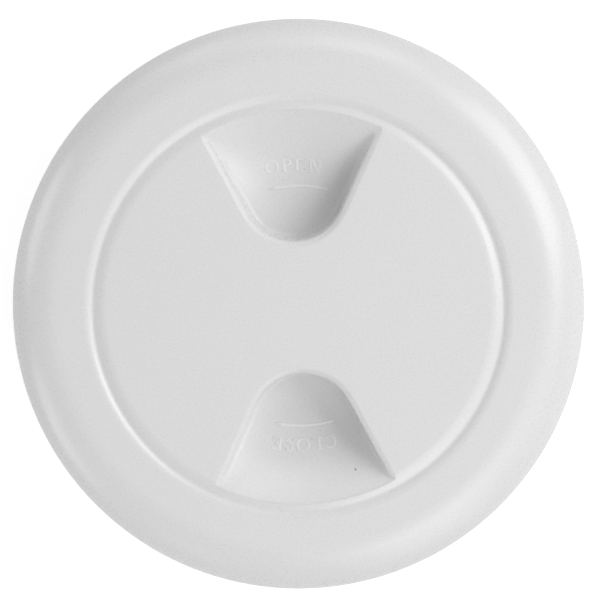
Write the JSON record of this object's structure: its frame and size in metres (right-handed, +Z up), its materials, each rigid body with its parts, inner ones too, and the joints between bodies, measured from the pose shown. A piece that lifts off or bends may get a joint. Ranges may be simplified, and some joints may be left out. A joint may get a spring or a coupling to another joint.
{
  "type": "inspection port",
  "caption": "Round screw-in inspection port for a deck: a broad moulded cap with two flared finger pockets, its rubber seal and the threaded ring it closes.",
  "frame": {"origin": "centre of the screw circle, in the plane of the deck face under the flange", "axes": "+Z up out of the deck along the port's axis, +Y through the OPEN finger pocket"},
  "size_m": [0.145, 0.145, 0.027],
  "materials": {
    "cap_plastic": "satin moulded white",
    "ring_plastic": "satin moulded white",
    "seal_rubber": "moulded black rubber"
  },
  "bodies": {
    "ring": {"deck_ring": "ring_plastic"},
    "seal": {"seal_ring": "seal_rubber"},
    "cap": {"screw_cap": "cap_plastic"}
  },
  "joints": [
    {"name": "cap_lift", "type": "slide", "parent": "ring", "child": "seal", "axis": [0, 0, 1], "range_m": [0, 0.015]},
    {"name": "cap_turn", "type": "hinge", "parent": "seal", "child": "cap", "pos_m": [0, 0, 0], "axis": [0, 0, 1], "range_deg": [0, 1080]}
  ],
  "couplings": [
    {"joint": "cap_lift", "follows": "cap_turn", "m_per_rad": 0.00079577}
  ]
}
